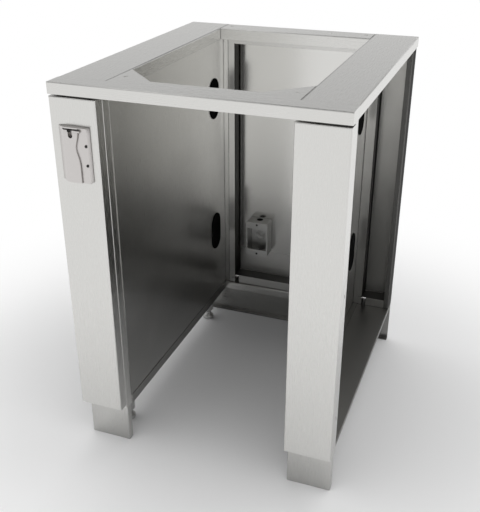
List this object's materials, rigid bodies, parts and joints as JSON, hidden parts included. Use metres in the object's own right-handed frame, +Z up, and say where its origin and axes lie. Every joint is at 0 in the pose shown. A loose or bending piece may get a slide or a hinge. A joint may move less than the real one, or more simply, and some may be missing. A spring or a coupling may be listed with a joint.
{
  "type": "outdoor kitchen appliance cabinet",
  "caption": "Free-standing outdoor kitchen cabinet of folded stainless sheet: an open bay for an undercounter appliance between narrow columns, under an open top frame, on levelling feet",
  "frame": {"origin": "on the floor, under the centre of the whole object's box", "axes": "+Z up, the open front of the bay faces -Y, +X to the right seen from the front"},
  "size_m": [0.61, 0.723, 0.876],
  "materials": {
    "stainless_sheet": "satin brushed",
    "plug_rubber": "matte black",
    "box_alloy": "fine cast, satin",
    "knockout_black": "matte black",
    "opener_cast": "cast and polished",
    "foot_steel": "machined",
    "screw_steel": "machined"
  },
  "bodies": {
    "carcass": {"compartment_floor_left": "stainless_sheet", "compartment_floor_right": "stainless_sheet", "corner_post_left": "stainless_sheet", "corner_post_right": "stainless_sheet", "fascia_left": "stainless_sheet", "fascia_right": "stainless_sheet", "foot_lock_nuts": "foot_steel", "foot_socket_front_left": "foot_steel", "foot_socket_front_right": "foot_steel", "foot_socket_rear_left": "foot_steel", "foot_socket_rear_right": "foot_steel", "front_leg_left": "stainless_sheet", "front_leg_right": "stainless_sheet", "front_post_left": "stainless_sheet", "front_post_right": "stainless_sheet", "front_trim": "stainless_sheet", "joining_screws_left": "screw_steel", "joining_screws_right": "screw_steel", "opener_bar": "opener_cast", "opener_body": "opener_cast", "opener_screws": "screw_steel", "outlet_box": "box_alloy", "outlet_frame": "box_alloy", "outlet_knockouts": "knockout_black", "outlet_screws": "screw_steel", "partition_left": "stainless_sheet", "partition_right": "stainless_sheet", "rear_bottom_rail": "stainless_sheet", "rear_kick_plate": "stainless_sheet", "rear_panel_left": "stainless_sheet", "rear_panel_middle": "stainless_sheet", "rear_panel_right": "stainless_sheet", "rear_post_left": "stainless_sheet", "rear_post_right": "stainless_sheet", "top_front_rail": "stainless_sheet", "top_rear_rail": "stainless_sheet", "top_side_plate_left": "stainless_sheet", "top_side_plate_right": "stainless_sheet", "utility_plug_left_lower": "plug_rubber", "utility_plug_left_upper": "plug_rubber", "utility_plug_right_lower": "plug_rubber", "utility_plug_right_upper": "plug_rubber"},
    "pad_front_left": {"foot_pad_front_left": "foot_steel"},
    "stud_front_left": {"foot_stud_front_left": "foot_steel"},
    "pad_front_right": {"foot_pad_front_right": "foot_steel"},
    "stud_front_right": {"foot_stud_front_right": "foot_steel"},
    "pad_rear_left": {"foot_pad_rear_left": "foot_steel"},
    "stud_rear_left": {"foot_stud_rear_left": "foot_steel"},
    "pad_rear_right": {"foot_pad_rear_right": "foot_steel"},
    "stud_rear_right": {"foot_stud_rear_right": "foot_steel"}
  },
  "joints": [
    {"name": "foot_front_left_travel", "type": "slide", "parent": "carcass", "child": "pad_front_left", "axis": [0, 0, -1], "range_m": [0, 0.025]},
    {"name": "foot_front_left_turn", "type": "hinge", "parent": "pad_front_left", "child": "stud_front_left", "pos_m": [-0.243, -0.2395, 0.016], "axis": [0, 0, -1], "range_deg": [0, 6001]},
    {"name": "foot_front_right_travel", "type": "slide", "parent": "carcass", "child": "pad_front_right", "axis": [0, 0, -1], "range_m": [0, 0.025]},
    {"name": "foot_front_right_turn", "type": "hinge", "parent": "pad_front_right", "child": "stud_front_right", "pos_m": [0.243, -0.2395, 0.016], "axis": [0, 0, -1], "range_deg": [0, 6001]},
    {"name": "foot_rear_left_travel", "type": "slide", "parent": "carcass", "child": "pad_rear_left", "axis": [0, 0, -1], "range_m": [0, 0.025]},
    {"name": "foot_rear_left_turn", "type": "hinge", "parent": "pad_rear_left", "child": "stud_rear_left", "pos_m": [-0.243, 0.2825, 0.016], "axis": [0, 0, -1], "range_deg": [0, 6001]},
    {"name": "foot_rear_right_travel", "type": "slide", "parent": "carcass", "child": "pad_rear_right", "axis": [0, 0, -1], "range_m": [0, 0.025]},
    {"name": "foot_rear_right_turn", "type": "hinge", "parent": "pad_rear_right", "child": "stud_rear_right", "pos_m": [0.243, 0.2825, 0.016], "axis": [0, 0, -1], "range_deg": [0, 6001]}
  ],
  "couplings": [
    {"joint": "foot_front_left_turn", "follows": "foot_front_left_travel", "rad_per_m": 4188.8},
    {"joint": "foot_front_right_turn", "follows": "foot_front_right_travel", "rad_per_m": 4188.8},
    {"joint": "foot_rear_left_turn", "follows": "foot_rear_left_travel", "rad_per_m": 4188.8},
    {"joint": "foot_rear_right_turn", "follows": "foot_rear_right_travel", "rad_per_m": 4188.8}
  ]
}
